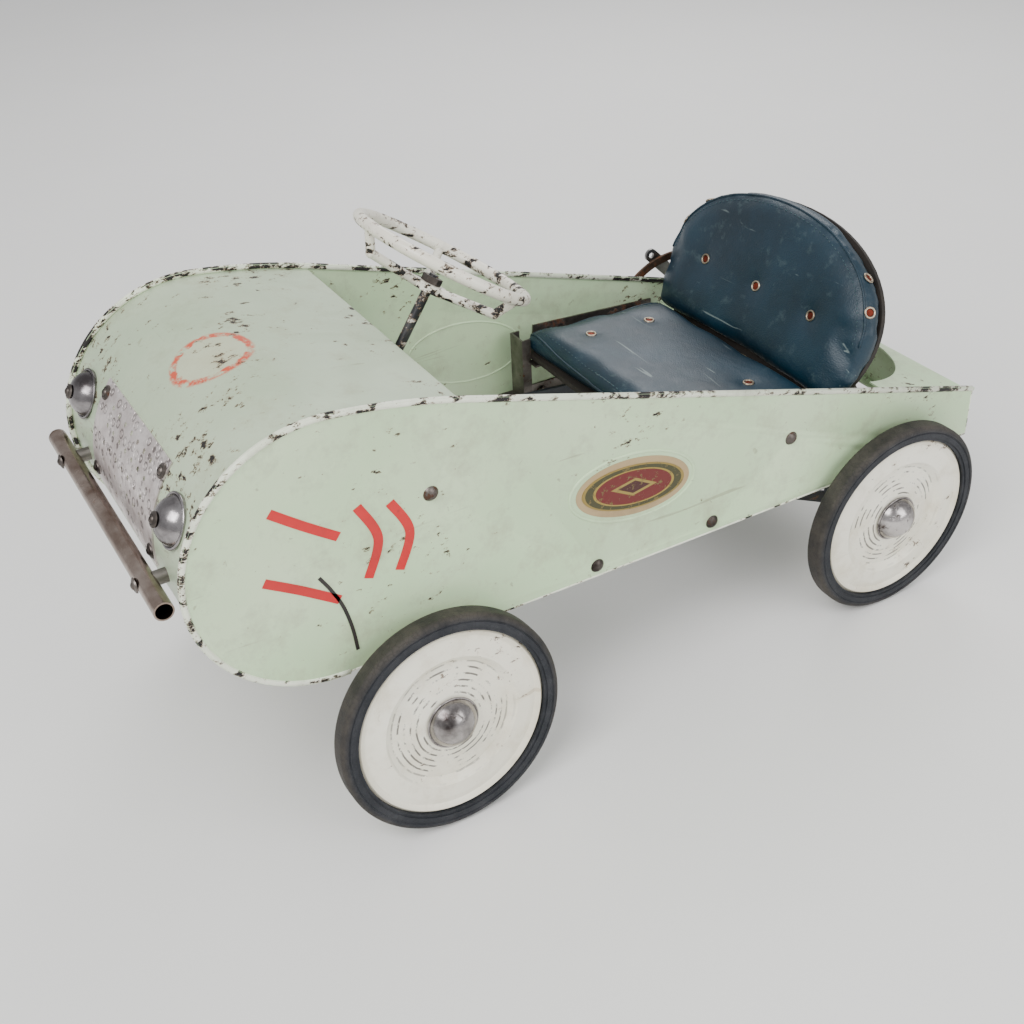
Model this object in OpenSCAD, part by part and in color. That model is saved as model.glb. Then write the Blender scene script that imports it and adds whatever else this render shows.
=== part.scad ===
// Child's pedal car: pressed steel body, treadle drive to a cranked rear axle,
// bent rod steering wheel, padded seat and a hand brake on the right side.
// X points to the car's left, Y to the rear, Z up.

/* [Body] */
// Width over the two side panels
body_w = 302; // [280:1:330]
// Thickness of the body sheet
sheet_t = 1.6; // [1:0.1:2.4]
// Radius of the round nose
nose_r = 118; // [100:1:130]
// Height of the nose's centre
nose_z = 280; // [262:1:300]
// Distance from the front axle forward to the nose's centre
nose_ahead = 68; // [50:1:90]
// Radius of the crown between the nose and the cowl
crown_r = 580; // [450:5:700]
// Angle at which the nose turns into the crown
crown_start = 6.1; // [3:0.1:9]
// Slope of the cockpit rim
rim_angle = 17; // [14:0.5:19]
// Distance from the front axle to the tail
tail_s = 622; // [600:1:650]
// Height of the tail's lower edge
tail_low = 149; // [140:1:158]
// Radius of the rolled edge round each panel
bead_r = 2.1; // [1.6:0.1:2.8]
// Length of the rear deck along the slope
deck_len = 122; // [100:1:135]

/* [Wheels] */
// Distance between the axles
wheelbase = 510; // [480:1:540]
// Radius of each tyre
wheel_r = 102; // [92:1:112]
// Width of each tyre
tyre_w = 20; // [16:1:24]
// Radius of the wheel disc's rim
rim_r = 87; // [76:1:91]
// Radius of the hub caps
cap_r = 24; // [18:1:28]
// Radius of both axles
axle_r = 6; // [5:0.5:7]
// Lean of the front wheels
camber = 7; // [0:0.5:8]
// Air between a front wheel and the body's side
front_gap = 18; // [16:1:22]
// Air between a rear wheel and the body's side
rear_gap = 10; // [8:1:14]

/* [Steering] */
// Radius of the steering ring
ring_r = 77; // [70:1:90]
// Radius of the ring's tube
ring_tube = 5.3; // [4:0.5:6]
// Distance from the front axle back to the ring's centre
ring_s = 119; // [105:1:135]
// Height of the ring's centre
ring_z = 420; // [405:1:440]
// Lean of the steering column from upright
column_lean = 34.6; // [32:0.1:37]
// Radius of the steering column
column_r = 4.3; // [4:0.5:6]
// Throw of the column's bent end
column_throw = 12; // [10:1:14]
// Length of the steering arms
steer_arm = 42; // [38:1:46]

/* [Drive] */
// Throw of the rear crank
crank_throw = 22; // [18:1:24]
// Height of the pedal pivot bar
pedal_z = 303; // [290:1:315]
// Distance from the front axle to the pedal pivot bar
pedal_s = 18; // [10:1:26]
// Distance from the pivot bar to the drive rod's pin
pedal_pin = 94; // [85:1:100]
// Length of each pedal arm
pedal_len = 125; // [110:1:128]
// Depth of the flat drive rods
drive_w = 12; // [10:1:14]

/* [Seat] */
// Distance from the front axle to the seat's front edge
seat_s = 267; // [255:1:280]
// Height of the seat's top at its front edge
seat_z = 255; // [248:1:262]
// Length of the seat cushion
seat_len = 175; // [160:1:185]
// Half width of the seat cushion
seat_half = 128; // [115:1:134]
// Backward slope of the seat
seat_slope = 4.3; // [3:0.1:6]
// Lean of the backrest
back_lean = 25; // [20:1:28]
// Height of the backrest along its slope
back_len = 152; // [140:1:175]
// Half width of the backrest
back_half = 150; // [130:1:152]
// Thickness of both cushions
pad_t = 20; // [14:1:24]
// Thickness of the boards behind the cushions
board_t = 5; // [4:0.5:8]

/* [Front] */
// Radius of the bumper tube
bumper_r = 8; // [6:0.5:10]
// Wall of the bumper tube
bumper_wall = 1.3; // [1:0.1:2]
// Length of the bumper
bumper_len = 294; // [260:1:302]
// Radius of the lamp domes
lamp_r = 22; // [18:1:25]
// Distance between the lamps' centres
lamp_span = 228; // [215:1:240]
// Width of the grille plate
grille_w = 158; // [140:1:162]

/* [Hidden] */
$fn = 64;
air = 0.3;                       // gap between faces that slide past each other
running = 0.05;                  // radial clearance of a shaft in its bore
half_w = body_w / 2;
inner = half_w - sheet_t;        // inner face of each side panel
nose_s = -nose_ahead;
function polar(c, r, a) = c + r * [sin(a), cos(a)];   // angle from upright, towards the rear
nose_c = [nose_s, nose_z];
crown_c = polar(nose_c, -(crown_r - nose_r), crown_start);
cowl = polar(crown_c, crown_r, rim_angle);
function rim_z(s) = cowl.y - tan(rim_angle) * (s - cowl.x);
nose_low = nose_z - nose_r;
function sill_z(s) = nose_low + (tail_low - nose_low) * (s - nose_s) / (tail_s - nose_s);
tail_top = rim_z(tail_s);
bumper_s = nose_s - nose_r - 6 - bumper_r;            // the bumper stands 6 mm off the nose
front_end = bumper_s - bumper_r;
mid_s = (front_end + tail_s + bead_r) / 2;

// Wheels: rounded tread, so the lean only lifts the centre a little
tread_round = 5;
function contact_z(lean) = tread_round + (wheel_r - tread_round) * cos(lean)
    + (tyre_w / 2 - tread_round) * sin(lean);
front_z = contact_z(camber);
rear_z = wheel_r;
rear_x = half_w + rear_gap + tyre_w / 2;
front_x = half_w + front_gap + tyre_w / 2 * cos(camber)
    + (nose_low - front_z) * tan(camber);             // same air where the wheel passes the sill
king_x = half_w - 19;
stub_z = front_z - (front_x - king_x) * tan(camber);

// Steering linkage, from the road wheels up to the column
beam_z = front_z + 22;
beam_t = 12;
tie_z = beam_z + 14;
tie_t = 4;
arm_z = beam_z - 15;
tie_pin_r = 3.5;
king_r = 6;
column_pin_r = 4;
// Distance from the ring's centre down the column to its bent end
function down_to(z, off) = (ring_z - off * sin(column_lean) - z) / cos(column_lean);
function column_at(d, off) = [ring_s - d * sin(column_lean) + off * cos(column_lean),
    ring_z - d * cos(column_lean) - off * sin(column_lean)];
hub_drop = 26;
bend_d = down_to(tie_z + 29, column_throw);
tongue_s = column_at(down_to(tie_z, column_throw), column_throw).x;

// Drive
bar_r = 5;
pedal_angle = 20;                // angle of the hanging pedal arms at mid stroke
rod_in = 92;                     // inner face of each drive rod
rod_t = 4;
pin_r = 4;
function hang(d) = [pedal_s + d * sin(pedal_angle), pedal_z - d * cos(pedal_angle)];
rod_end = hang(pedal_pin);
crank_gap = 11;                  // half width of the space between the crank's webs
crank_mid = rod_in + rod_t / 2;

// Seat
seat_dir = [cos(seat_slope), -sin(seat_slope)];
seat_up = [sin(seat_slope), cos(seat_slope)];
crease = [seat_s, seat_z] + seat_len * seat_dir;
rail_leg = 20;
rail_t = 2;
upright_x = [inner - 37, inner - 13];
bolt_r = 3;
// Side bolts as distance behind the front axle and height
bolt_a = [pedal_s, pedal_z];
bolt_b = [386, rim_z(386) - 48];
bolt_c = [298, sill_z(298) + 11];
bolt_d = [172, sill_z(172) + 11];
bolts = [bolt_a, bolt_b, bolt_c, bolt_d];
hanger_bolts = [for (d = [-18, 18]) [wheelbase + d, sill_z(wheelbase) + 24]];
brake_pivot = [wheelbase + 2, rim_z(wheelbase) - 19];
brake_out = 9;                   // the lever stands this far off the panel

// Front fittings sit on the nose at these angles above level
skin_gap = bead_r + 0.3;
skin_r = nose_r - skin_gap;      // outer radius of the hood's sheet
lamp_angle = 25.8;
grille_top = 41;
grille_bottom = -4;
grille_t = 1.5;
screw_angles = [35.5, 1.5];
screw_x = 72;
bumper_bolt_x = 104;

paint = "#cfe0c8";
cream = "#efece0";
steel = "#8b8985";
dark = "#2b2a2c";
chrome = "#b4b2b0";
vinyl = "#14303c";
wood = "#8a6a45";

// ---- Helpers ----

// Everything is drawn from the front axle, then centred along Y
module car() { translate([0, -mid_s, 0]) children(); }

// A side view outline (s, z) made solid between two x positions
module slab(x0, x1) {
    translate([min(x0, x1), 0, 0]) rotate([90, 0, 90]) linear_extrude(abs(x1 - x0)) children();
}

// A round bar between two points
module bar(p, q, r) {
    d = q - p;
    translate(p) rotate([0, acos(d.z / norm(d)), atan2(d.y, d.x)]) cylinder(r = r, h = norm(d));
}

// A flat strip with round ends, drawn in a plane
module strip(p, q, w) {
    d = q - p;
    translate(p) rotate(atan2(d.y, d.x)) translate([0, -w / 2]) square([norm(d), w]);
    for (c = [p, q]) translate(c) circle(d = w);
}

// The same strip with its ends drawn as short flats, for strips that meet at an angle
module faceted_strip(p, q, w) {
    turn = atan2(q.y - p.y, q.x - p.x) + 90;
    half = [for (i = [0:11]) turn + i * 180 / 11];
    polygon(concat([for (a = half) p + w / 2 * [cos(a), sin(a)]],
        [for (a = half) q - w / 2 * [cos(a), sin(a)]]));
}

module round_rect(w, h, r) {
    square([w - 2 * r, h], center = true);
    square([w, h - 2 * r], center = true);
    for (x = [-1, 1], y = [-1, 1]) translate([x * (w / 2 - r), y * (h / 2 - r)]) circle(r = r);
}

// Children drawn upright along X at a side view position
module across(x, at) { translate([x, at.x, at.y]) rotate([0, 90, 0]) children(); }

// Local Z runs up the steering column, from a depth below the ring
module on_column(depth) {
    translate([0, ring_s, ring_z]) rotate([-column_lean, 0, 0]) translate([0, 0, -depth]) children();
}

// Local Z stands out of the nose at an angle above level
module on_nose(x, angle, r) {
    translate([x, nose_s, nose_z]) rotate([90 - angle, 0, 0]) translate([0, 0, r]) children();
}

module both_sides() { for (m = [0, 1]) mirror([m, 0, 0]) children(); }

// ---- Body ----

// Side view of the whole body
module side_area() {
    translate(nose_c) circle(r = nose_r, $fn = 128);
    intersection() {
        translate(crown_c) circle(r = crown_r, $fn = 256);
        polygon([nose_c, polar(crown_c, crown_r + 40, crown_start), [cowl.x, cowl.y + 40],
            [cowl.x, nose_low], [nose_s, nose_low]]);
    }
    polygon([[nose_s, nose_low], cowl, [tail_s, tail_top], [tail_s, tail_low]]);
}

// Side view of the rolled edge along the nose, crown and rim
module bead() {
    hood_band(-bead_r, 2 * bead_r);
    strip(cowl, [tail_s, tail_top], 2 * bead_r);
}

module side_panel() {
    difference() {
        union() {
            slab(inner, half_w) side_area();
            slab(half_w - 1.6 * bead_r, half_w + 0.4 * bead_r) bead();
        }
        for (b = concat(bolts, hanger_bolts)) across(inner - 5, b) cylinder(r = bolt_r, h = 20);
    }
}
module side_panel_left() { color(paint) car() side_panel(); }
module side_panel_right() {
    color(paint) car() difference() {
        mirror([1, 0, 0]) side_panel();
        across(-half_w - 5, brake_pivot) cylinder(r = bolt_r, h = 10);
    }
}

// Band of sheet that follows the nose and crown
module hood_band(inset, t) {
    intersection() {
        translate(nose_c) difference() {
            circle(r = nose_r - inset, $fn = 128);
            circle(r = nose_r - inset - t, $fn = 128);
        }
        polygon([nose_c, polar(nose_c, 2 * nose_r, crown_start), nose_c + nose_r * [-2, 2],
            nose_c + nose_r * [-2, -2], nose_c + nose_r * [0, -2]]);
    }
    intersection() {
        translate(crown_c) difference() {
            circle(r = crown_r - inset, $fn = 256);
            circle(r = crown_r - inset - t, $fn = 256);
        }
        polygon([crown_c, polar(crown_c, crown_r + 9, crown_start), polar(crown_c, crown_r + 9, rim_angle)]);
    }
}
cowl_in = polar(crown_c, crown_r - skin_gap - 1.5 * sheet_t, rim_angle);
module hood() {
    color(paint) car() difference() {
        union() {
            slab(-inner, inner) hood_band(skin_gap, sheet_t);
            bar([-inner, cowl_in.x, cowl_in.y], [inner, cowl_in.x, cowl_in.y], 1.5 * sheet_t);
        }
        for (x = [-screw_x, screw_x], a = screw_angles) on_nose(x, a, skin_r - 6) cylinder(r = 1.5, h = 12);
        for (x = [-1, 1]) on_nose(x * lamp_span / 2, lamp_angle, skin_r - 6) cylinder(r = 2, h = 12);
        for (x = [-1, 1]) on_nose(x * bumper_bolt_x, 0, skin_r - 6) cylinder(r = 2.5, h = 12);
    }
}

// Curved plate with rows of pierced holes
module grille() {
    pitch = 16;
    middle = (grille_top + grille_bottom) / 2;
    color("#bcb2b0") car() difference() {
        slab(-grille_w / 2, grille_w / 2) intersection() {
            translate(nose_c) difference() {
                circle(r = skin_r + grille_t, $fn = 128);
                circle(r = skin_r, $fn = 128);
            }
            polygon([nose_c, polar(nose_c, 2 * nose_r, grille_top - 90),
                polar(nose_c, 2 * nose_r, grille_bottom - 90)]);
        }
        for (x = [-screw_x, screw_x], a = screw_angles) on_nose(x, a, skin_r - 4) cylinder(r = 1.5, h = 12);
        for (i = [-3:3], j = [-2:2])
            on_nose(i * pitch, middle + j * pitch / nose_r * 57, skin_r - 4) cylinder(r = 2.2, h = 12, $fn = 24);
    }
}

// Cup washer with a round headed screw
module cup_screw(shank, depth) {
    rotate_extrude($fn = 32) polygon([[shank, 0], [6.5, 0], [6, 1.2], [4.2, 2], [4, 1.2], [shank, 1.2]]);
    difference() {
        translate([0, 0, 1.2]) intersection() {
            translate([0, 0, -1.8]) sphere(r = 4.4, $fn = 32);
            cylinder(r = 3.6, h = 4);
        }
        translate([-0.5, -4, 2.6]) cube([1, 8, 3]);
    }
    translate([0, 0, -depth]) cylinder(r = shank, h = depth + 1.5);
}
module front_screws() {
    color(dark) car() {
        for (x = [-screw_x, screw_x], a = screw_angles) on_nose(x, a, skin_r + grille_t) cup_screw(1.5, 8);
        for (x = [-1, 1]) on_nose(x * lamp_span / 2, lamp_angle, skin_r + lamp_rise) cup_screw(2, lamp_rise + 6);
        for (x = [-1, 1]) on_nose(x * bumper_bolt_x, 0, nose_r + 6 + 2 * bumper_r)
            cup_screw(2.5, 2 * bumper_r + 14);
    }
}

// Hollow pressed dome with a rolled rim, trimmed to the curve of the nose
lamp_rise = 15;
module lamp() {
    ball = (pow(lamp_r - 2, 2) + pow(lamp_rise, 2)) / (2 * lamp_rise);
    rotate_extrude($fn = 64) difference() {
        union() {
            intersection() {
                translate([0, lamp_rise - ball]) circle(r = ball, $fn = 96);
                translate([0, -3]) square([lamp_r - 2, lamp_rise + 4]);
            }
            translate([lamp_r - 3.5, -3]) square([2.5, 4]);
            translate([lamp_r - 1.2, 1]) circle(r = 1.2, $fn = 24);
        }
        intersection() {
            translate([0, lamp_rise - ball - 1.2]) circle(r = ball, $fn = 96);
            translate([0, -9]) square([lamp_r - 3.5, lamp_rise + 9]);
        }
        translate([-99, -99]) square([99, 198]);
        translate([0, -9]) square([2, 60]);
    }
}
module lamps() {
    color(chrome) car() difference() {
        for (x = [-1, 1]) on_nose(x * lamp_span / 2, lamp_angle, skin_r) lamp();
        across(-half_w, nose_c) cylinder(r = skin_r, h = body_w, $fn = 128);
    }
}

module bumper() {
    color("#6f6259") car() difference() {
        across(-bumper_len / 2, [bumper_s, nose_z]) cylinder(r = bumper_r, h = bumper_len);
        across(-bumper_len, [bumper_s, nose_z]) cylinder(r = bumper_r - bumper_wall, h = 2 * bumper_len);
        for (x = [-1, 1]) on_nose(x * bumper_bolt_x, 0, nose_r) cylinder(r = 2.5, h = 40);
    }
}
module bumper_spacers() {
    color(steel) car() for (x = [-1, 1]) difference() {
        on_nose(x * bumper_bolt_x, 0, skin_r - 2) cylinder(r = 6, h = nose_r + 8 - skin_r + 2, $fn = 48);
        on_nose(x * bumper_bolt_x, 0, nose_r / 2) cylinder(r = 2.5, h = nose_r);
        across(-half_w, nose_c) cylinder(r = skin_r, h = body_w, $fn = 128);
        across(-half_w, [bumper_s, nose_z]) cylinder(r = bumper_r, h = body_w);
    }
}

// Sloping deck with a round cut behind the backrest
deck_side = inner - 0.2;
module rear_deck() {
    color(paint) car() translate([0, tail_s, tail_top]) rotate([-rim_angle, 0, 0]) {
        difference() {
            translate([-deck_side, -deck_len, -sheet_t - bead_r]) cube([2 * deck_side, deck_len - 2, sheet_t]);
            translate([0, -deck_len - 14, -10]) cylinder(r = deck_len + 4, h = 20, $fn = 128);
        }
    }
}
module tail_panel() {
    color(paint) car() slab(-deck_side, deck_side) {
        low = [tail_s - 1, tail_low + 1];
        high = [tail_s - 1, tail_top - bead_r - 1];
        translate(low - [sheet_t, 0]) square([sheet_t, high.y - low.y - 1]);
        translate([low.x - 14, low.y]) square([13, sheet_t]);
    }
}

// ---- Frame ----

rail_front = -26;
rail_rear = wheelbase + 66;
hanger_t = 4;
hanger_w = 60;
hanger_x = inner - rail_t - hanger_t;
bush_r = 9;
module chassis_rail() {
    low = [rail_front, sill_z(rail_front) + 1];
    high = [rail_rear, sill_z(rail_rear) + 1];
    difference() {
        slab(inner - rail_t, inner) polygon([low, high, high + [0, rail_leg], low + [0, rail_leg]]);
        for (b = concat([bolt_c, bolt_d], hanger_bolts)) across(inner - 9, b) cylinder(r = bolt_r, h = 20);
    }
    difference() {
        slab(inner - rail_leg, inner - rail_t) polygon([low, high, high + [0, rail_t], low + [0, rail_t]]);
        translate([hanger_x - air, wheelbase - hanger_w / 2 - air, 0])
            cube([hanger_t + air, hanger_w + 2 * air, nose_z]);
    }
}
module chassis_rail_left() { color(steel) car() chassis_rail(); }
module chassis_rail_right() { color(steel) car() mirror([1, 0, 0]) chassis_rail(); }

// Flat cross members resting on the rails, given by their front edge
member_t = 3;
function member_z(front) = sill_z(front) + 1 + rail_t;
module cross_member(front, w) {
    translate([rail_t - inner, front, member_z(front)]) cube([2 * (inner - rail_t), w, member_t]);
}
beam_member = -19;
back_member = wheelbase + 41;
module front_cross_member() { color(steel) car() cross_member(beam_member, 26); }
module rear_cross_member() { color(steel) car() cross_member(back_member, 22); }

module axle_hangers() {
    low = sill_z(wheelbase) + 4;
    color(steel) car() both_sides() slab(hanger_x, hanger_x + hanger_t) difference() {
        union() {
            translate([wheelbase, rear_z]) circle(r = bush_r + 7);
            polygon([for (p = [[-1, 34], [1, 34], [1, 0]]) [wheelbase + p.x * hanger_w / 2, low + p.y],
                [wheelbase + bush_r + 5, rear_z], [wheelbase - bush_r - 5, rear_z],
                [wheelbase - hanger_w / 2, low]]);
        }
        translate([wheelbase, rear_z]) circle(r = bush_r);
        for (b = hanger_bolts) translate(b) circle(r = bolt_r);
    }
}
module axle_bushes() {
    color("#a98d4a") car() both_sides() difference() {
        across(hanger_x - 3, [wheelbase, rear_z]) cylinder(r = bush_r, h = hanger_t + 6);
        across(hanger_x - 9, [wheelbase, rear_z]) cylinder(r = axle_r + running, h = hanger_t + 20);
    }
}

// Beam with an eye for a kingpin at each end
module front_beam() {
    color(steel) car() translate([0, 0, beam_z - beam_t / 2]) difference() {
        union() {
            translate([-king_x, -11, 0]) cube([2 * king_x, 22, beam_t]);
            both_sides() translate([king_x, 0, 0]) cylinder(r = 13, h = beam_t);
        }
        both_sides() translate([king_x, 0, -1]) cylinder(r = king_r, h = beam_t + 2);
    }
}
module beam_posts() {
    top = member_z(beam_member);
    low = beam_z + beam_t / 2;
    color(steel) car() both_sides() translate([58, -9, low]) difference() {
        cube([24, 18, top - low]);
        translate([2, -1, 2]) cube([20, 20, top - low - 4]);
    }
}
king_low = stub_z - 12;
module kingpins() {
    color(dark) car() both_sides() translate([king_x, 0, 0]) {
        translate([0, 0, king_low - 4]) cylinder(r = 9, h = 4 - air);
        translate([0, 0, king_low - 2]) cylinder(r = king_r, h = beam_z + beam_t / 2 + 2 - king_low);
        translate([0, 0, beam_z + beam_t / 2]) cylinder(r = 8, h = 3);
    }
}

// Cross strap under the cowl that carries the column's upper bearing
bracket_d = 122;
module column_bracket() {
    color(steel) car() on_column(bracket_d) difference() {
        union() {
            translate([-inner, -11, -2]) cube([2 * inner, 22, 4]);
            translate([0, 0, -8]) cylinder(r = column_r + 6, h = 16);
        }
        translate([0, 0, -20]) cylinder(r = column_r + running, h = 40);
    }
}
// Lower bearing on a foot that stands on the front cross member
foot_d = 266;
module column_foot() {
    z = member_z(beam_member) + member_t;
    bearing = column_at(foot_d, 0);
    color(steel) car() difference() {
        union() {
            slab(-12, 12) {
                translate([beam_member + 1, z]) square([22, 3]);
                strip([beam_member + 3, z + 2], bearing, 4);
            }
            on_column(foot_d + 6) cylinder(r = column_r + 6, h = 12);
        }
        on_column(foot_d + 30) cylinder(r = column_r + running, h = 60);
    }
}

module pedal_bar() {
    color(steel) car() difference() {
        across(-inner, bolt_a) cylinder(r = bar_r, h = 2 * inner);
        for (x = [-inner - 1, inner - 14]) across(x, bolt_a) cylinder(r = bolt_r, h = 15);
    }
}

// ---- Seat ----

seat_low = pad_t + board_t;      // depth of the board's underside below the seat's top
upright_front = seat_s - 11;
module upright() {
    foot = sill_z(seat_s) + 1 + rail_t + air;
    top = seat_z - 3;
    translate([upright_x[0], upright_front, foot]) difference() {
        cube([upright_x[1] - upright_x[0], 10, top - foot]);
        translate([2, 2, -1]) cube([upright_x[1] - upright_x[0] - 4, 10, top - foot + 2]);
    }
    translate([upright_x[0] - 12, upright_front + 8, seat_z - seat_low - 5]) cube([14, 24, 2]);
}
module seat_uprights() { color(steel) car() both_sides() upright(); }

// Points on the seat's side view: along the seat, then down from its top
function seat_at(along, down) = [seat_s, seat_z] + along * seat_dir - down * seat_up;
module seat_slab(x0, x1, from, to, top, bottom) {
    slab(x0, x1) polygon([seat_at(from, top), seat_at(to, top), seat_at(to, bottom), seat_at(from, bottom)]);
}
module seat_rails() {
    color(steel) car() both_sides() difference() {
        union() {
            seat_slab(inner - rail_t, inner, 24, seat_len, seat_low - 18, seat_low + rail_t);
            seat_slab(inner - rail_leg, inner - rail_t, 24, seat_len, seat_low, seat_low + rail_t);
        }
        across(inner - 9, bolt_b) cylinder(r = bolt_r, h = 20);
    }
}
module seat_board() {
    color(wood) car() seat_slab(-seat_half - 4, seat_half + 4, 0.5, seat_len + 6, pad_t, seat_low);
}
module seat_cushion() {
    round = pad_t / 2 - 1;
    color(vinyl) car() slab(-seat_half, seat_half) translate([seat_s, seat_z]) rotate(-seat_slope) {
        translate([round, -pad_t + 0.1]) square([seat_len - round - 0.4, pad_t - 0.1]);
        translate([0, -pad_t + round]) square([2 * round, pad_t - 2 * round]);
        for (y = [-round, round - pad_t + 0.1]) translate([round, y]) circle(r = round);
    }
}

// Local Y runs up the backrest and local Z out of its front
module on_back() { translate([0, crease.x, crease.y]) rotate([90 - back_lean, 0, 0]) children(); }

// Half width of the backrest at a height along its slope
back_mid = 0.36 * back_len;
back_taper = 15;
function back_x(v, trim) = v < back_mid
    ? back_half - trim - back_taper * pow((back_mid - v) / back_mid, 2)
    : (back_half - trim) * pow(1 - pow((v - back_mid) / (back_len - trim - back_mid), 2.1), 1 / 2.1);
module back_area(from, trim) {
    steps = 16;
    low = [for (i = [0:5]) from + (back_mid - from) * i / 6];
    high = [for (i = [0:steps]) back_mid + (back_len - trim - back_mid) * sin(90 * i / steps)];
    v = concat(low, high);
    right = [for (h = v) [back_x(h, trim), h]];
    polygon(concat(right, [for (i = [len(right) - 2:-1:0]) [-right[i].x, right[i].y]]));
}
module back_cushion() {
    color(vinyl) car() on_back() translate([0, 0, -pad_t]) linear_extrude(pad_t - air) back_area(2, 0);
}
module back_board() {
    color(wood) car() on_back() translate([0, 0, -pad_t - board_t]) linear_extrude(board_t) back_area(-11, 4);
}
stay_x = 60;
module back_stays() {
    top = crease + [sin(back_lean), cos(back_lean)] * 60
        + [cos(back_lean), -sin(back_lean)] * (pad_t + board_t + 1.5);
    foot = [back_member + 12, member_z(back_member) + member_t + 1.5];
    lift = [sin(back_lean), cos(back_lean)];
    color(steel) car() both_sides() slab(stay_x - 8, stay_x + 8) {
        strip(top - 26 * lift, top + 14 * lift, 3);
        strip(top, foot, 3);
        strip(foot, foot - [9, 0], 3);
    }
}

// Eyelets: two rows on the seat and one across the back
eyelet_x = 81;
module eyelet() {
    rotate_extrude($fn = 32) translate([4.4, 0.7]) circle(r = 0.9, $fn = 16);
}
module eyelets() {
    color("#b7a58e") car() {
        for (x = [-1, 1], s = [52, 124]) translate([x * eyelet_x, seat_at(s, -air).x, seat_at(s, -air).y])
            rotate([-seat_slope, 0, 0]) eyelet();
        for (x = [-1, 0, 1]) on_back() translate([x * eyelet_x, 61, 0]) eyelet();
    }
}

// ---- Side fittings ----

// Round head outside, shank through the panel and a nut inside
module side_bolt(at, grip, nut) {
    across(half_w, at) intersection() {
        translate([0, 0, -4]) sphere(r = 7.8, $fn = 48);
        cylinder(r = 6.7, h = 6);
    }
    across(half_w - grip, at) cylinder(r = bolt_r, h = grip + 1);
    if (nut) across(half_w - grip, at) cylinder(r = 6, h = 4, $fn = 6);
}
module side_bolts() {
    plain = sheet_t + rail_t + 4;
    color(dark) car() {
        both_sides() {
            side_bolt(bolt_a, sheet_t + 12, false);
            side_bolt(bolt_b, sheet_t + rail_t, false);
            for (b = [bolt_c, bolt_d]) side_bolt(b, plain, true);
            for (b = hanger_bolts) side_bolt(b, plain + hanger_t, true);
        }
        across(-half_w + sheet_t - 0.0, brake_pivot) mirror([0, 0, 1]) brake_bolt();
    }
}
lever_x = half_w + brake_out;
lever_t = 3;
module brake_bolt() {
    reach = brake_out + sheet_t;
    translate([0, 0, -4]) cylinder(r = 6, h = 4, $fn = 6);
    cylinder(r = bolt_r, h = reach + lever_t + air);
    translate([0, 0, sheet_t]) cylinder(r = 6, h = brake_out - air);
    translate([0, 0, reach + lever_t + air]) intersection() {
        translate([0, 0, -3]) sphere(r = 7);
        cylinder(r = 6.4, h = 5);
    }
}

badge_at = [210, 238];
module badges() {
    color("#8a2a26") car() both_sides() slab(half_w, half_w + 0.8)
        translate(badge_at) rotate(-10) scale([54, 22]) circle(r = 1, $fn = 72);
}

// ---- Hand brake ----

lever_angle = 45;
lever_len = 88;
tip_r = 3;
shoe_r = 5.5;
shoe_pin_r = 2.6;
shoe_at = brake_pivot + [15, 1];
lever_tip = brake_pivot + lever_len * [-sin(lever_angle), cos(lever_angle)];
module brake_lever() {
    color(steel) car() {
        mirror([1, 0, 0]) slab(lever_x, lever_x + lever_t) difference() {
            union() {
                faceted_strip(brake_pivot, lever_tip, 14);
                faceted_strip(brake_pivot, shoe_at, 9);
            }
            translate(brake_pivot) circle(r = bolt_r + running);
            translate(lever_tip) circle(r = tip_r);
        }
        mirror([1, 0, 0]) across(lever_x + 1, shoe_at) cylinder(r = shoe_pin_r, h = tyre_w - 5 + lever_t - 1);
    }
}
module brake_shoe() {
    color("#3a2c24") car() mirror([1, 0, 0]) difference() {
        across(lever_x + lever_t, shoe_at) cylinder(r = shoe_r, h = tyre_w - 5);
        across(lever_x, shoe_at) cylinder(r = shoe_pin_r, h = tyre_w);
    }
}
module brake_quadrant() {
    centre = [474, rim_z(474) - 50];
    r = 78;
    color("#4a3a30") car() mirror([1, 0, 0]) {
        slab(half_w + 3, half_w + 6) intersection() {
            translate(centre) difference() {
                circle(r = r + 4);
                circle(r = r - 4);
            }
            translate(centre) polygon([[0, 0], for (a = [8:29:153]) 2 * r * [cos(a), sin(a)]]);
        }
        for (a = [12, 148]) across(half_w, centre + r * [cos(a), sin(a)]) cylinder(r = 3.5, h = 3);
    }
}

// ---- Steering ----

spoke_r = 4;
module steering_wheel() {
    color(cream) car() on_column(0) difference() {
        union() {
            rotate_extrude($fn = 128) translate([ring_r, 0]) circle(r = ring_tube, $fn = 32);
            for (a = [-90, 30, 150]) rotate(a) {
                bar([ring_r - 1, 0, -2], [ring_r - 12, 0, 6 - hub_drop], spoke_r);
                translate([ring_r - 12, 0, 6 - hub_drop]) sphere(r = spoke_r + 0.3);
                bar([ring_r - 12, 0, 6 - hub_drop], [column_r + 4, 0, -hub_drop - 2], spoke_r);
            }
            translate([0, 0, -hub_drop - 5]) cylinder(r = 15, h = 7);
        }
        translate([0, 0, -2 * hub_drop]) cylinder(r = column_r, h = 2 * hub_drop);
    }
}
module hub_nut() {
    color(dark) car() on_column(hub_drop - 2) difference() {
        cylinder(r = 9, h = 6, $fn = 6);
        translate([0, 0, -1]) cylinder(r = column_r, h = 8);
    }
}
module steering_column() {
    top = hub_drop - 10;
    tip = down_to(tie_z - 4, column_throw);
    color(dark) car() {
        on_column(bend_d) cylinder(r = column_r, h = bend_d - top);
        on_column(bend_d) sphere(r = column_r);
        on_column(bend_d) rotate([-90, 0, 0]) cylinder(r = column_r, h = column_throw);
        on_column(bend_d) translate([0, column_throw, 0]) sphere(r = column_r);
        on_column(tip) translate([0, column_throw, 0]) cylinder(r = column_pin_r, h = tip - bend_d);
    }
}
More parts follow.
